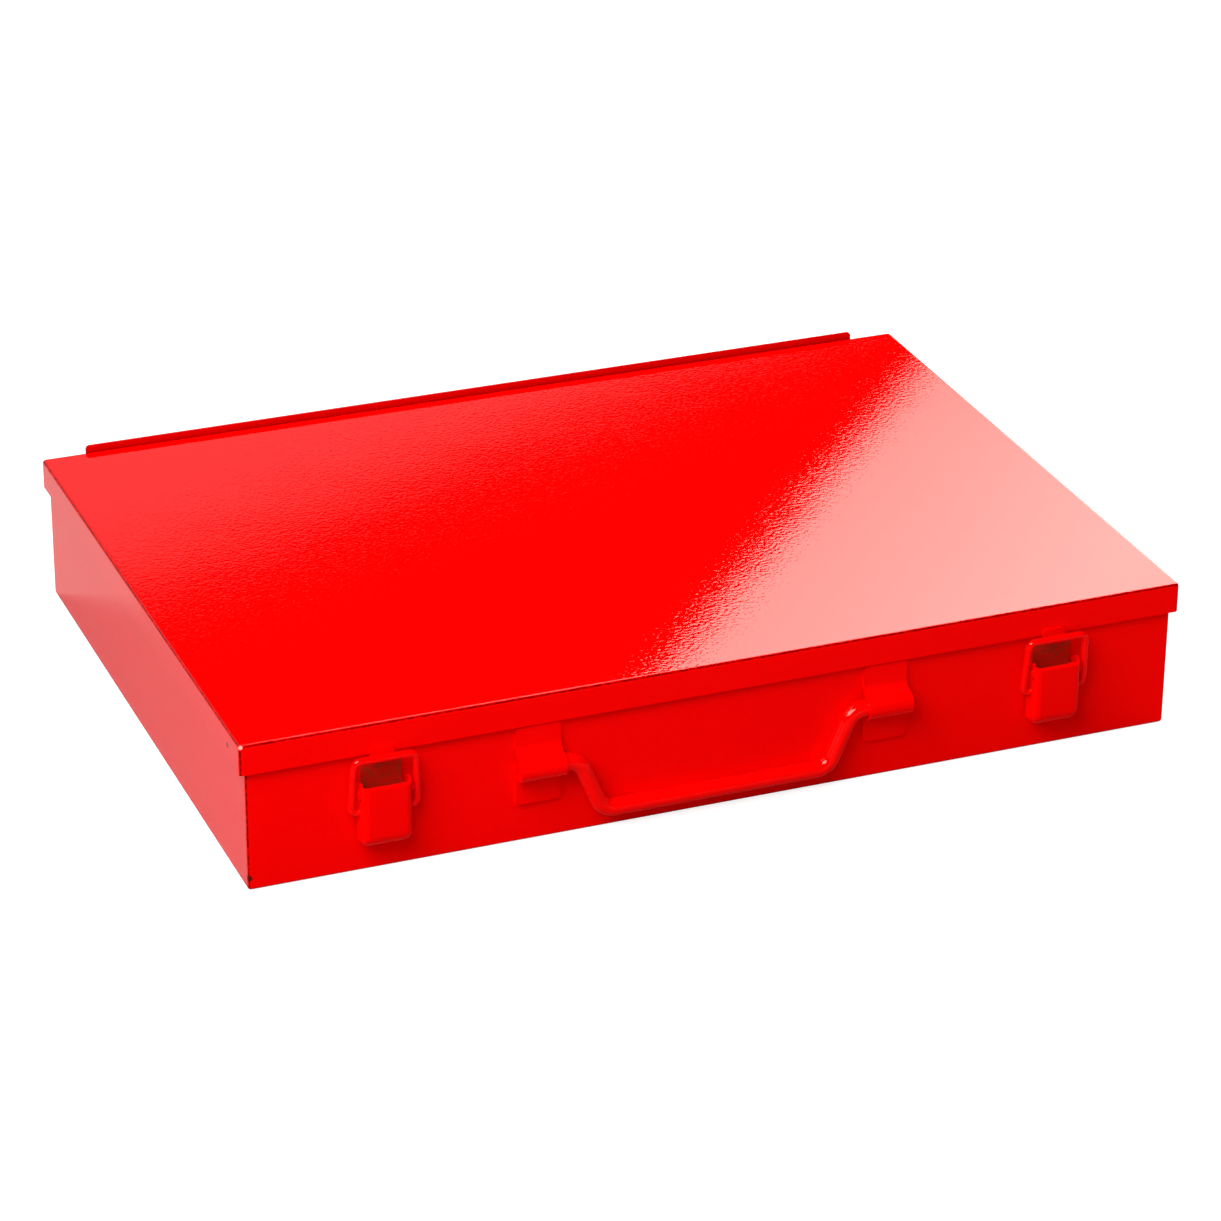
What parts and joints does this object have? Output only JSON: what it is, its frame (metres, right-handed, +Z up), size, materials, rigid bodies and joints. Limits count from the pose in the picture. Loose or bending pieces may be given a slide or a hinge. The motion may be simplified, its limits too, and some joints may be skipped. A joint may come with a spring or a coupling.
{
  "type": "hinged-lid tool case",
  "caption": "Flat painted sheet-steel tool case with a hinged lid, over-centre draw latches and a drop handle on its front.",
  "frame": {"origin": "on the resting plane, under the centre of the lid's outline, which lies on the tray's flat underside", "axes": "+X to the right and +Y to the back as seen from the front with the latches, +Z up"},
  "size_m": [0.34, 0.2509, 0.0568],
  "materials": {
    "case_paint": "glossy powder coat with fine orange peel",
    "hardware_paint": "glossy powder coat, thinner over pressed and bent edges",
    "latch_plate": "thin powder coat, browner where the steel shows through",
    "bare_steel": "drawn wire, lightly oiled"
  },
  "bodies": {
    "case": {"body_tray": "case_paint", "hinge_leaf_body": "case_paint", "hinge_pin": "bare_steel", "handle_bracket_left": "case_paint", "handle_bracket_right": "case_paint", "latch_base_left": "latch_plate", "latch_base_right": "latch_plate", "latch_lever_pin_left": "hardware_paint", "latch_lever_pin_right": "hardware_paint", "latch_rivets_left": "latch_plate", "latch_rivets_right": "latch_plate"},
    "lid": {"lid_shell": "case_paint", "hinge_leaf_lid": "case_paint", "latch_strike_left": "case_paint", "latch_strike_right": "case_paint"},
    "handle": {"handle_bail": "hardware_paint"},
    "latch_lever_left": {"latch_lever_left": "hardware_paint"},
    "latch_loop_left": {"latch_loop_left": "hardware_paint"},
    "latch_lever_right": {"latch_lever_right": "hardware_paint"},
    "latch_loop_right": {"latch_loop_right": "hardware_paint"}
  },
  "joints": [
    {"name": "lid_hinge", "type": "hinge", "parent": "case", "child": "lid", "pos_m": [0, 0.1226, 0.0434], "axis": [-1, 0, 0], "range_deg": [0, 180]},
    {"name": "handle_swing", "type": "hinge", "parent": "case", "child": "handle", "pos_m": [-0.004, -0.1216, 0.0287], "axis": [-1, 0, 0], "range_deg": [0, 165]},
    {"name": "latch_lever_left_pivot", "type": "hinge", "parent": "case", "child": "latch_lever_left", "pos_m": [-0.1217, -0.1226, 0.0306], "axis": [-1, 0, 0], "range_deg": [0, 95]},
    {"name": "latch_loop_left_pivot", "type": "hinge", "parent": "latch_lever_left", "child": "latch_loop_left", "pos_m": [-0.1217, -0.1216, 0.0236], "axis": [-1, 0, 0], "range_deg": [-95, 0]},
    {"name": "latch_lever_right_pivot", "type": "hinge", "parent": "case", "child": "latch_lever_right", "pos_m": [0.1217, -0.1226, 0.0306], "axis": [-1, 0, 0], "range_deg": [0, 95]},
    {"name": "latch_loop_right_pivot", "type": "hinge", "parent": "latch_lever_right", "child": "latch_loop_right", "pos_m": [0.1217, -0.1216, 0.0236], "axis": [-1, 0, 0], "range_deg": [-95, 0]}
  ],
  "couplings": [
    {"joint": "latch_loop_left_pivot", "follows": "latch_lever_left_pivot", "ratio": -1},
    {"joint": "latch_loop_right_pivot", "follows": "latch_lever_right_pivot", "ratio": -1}
  ]
}
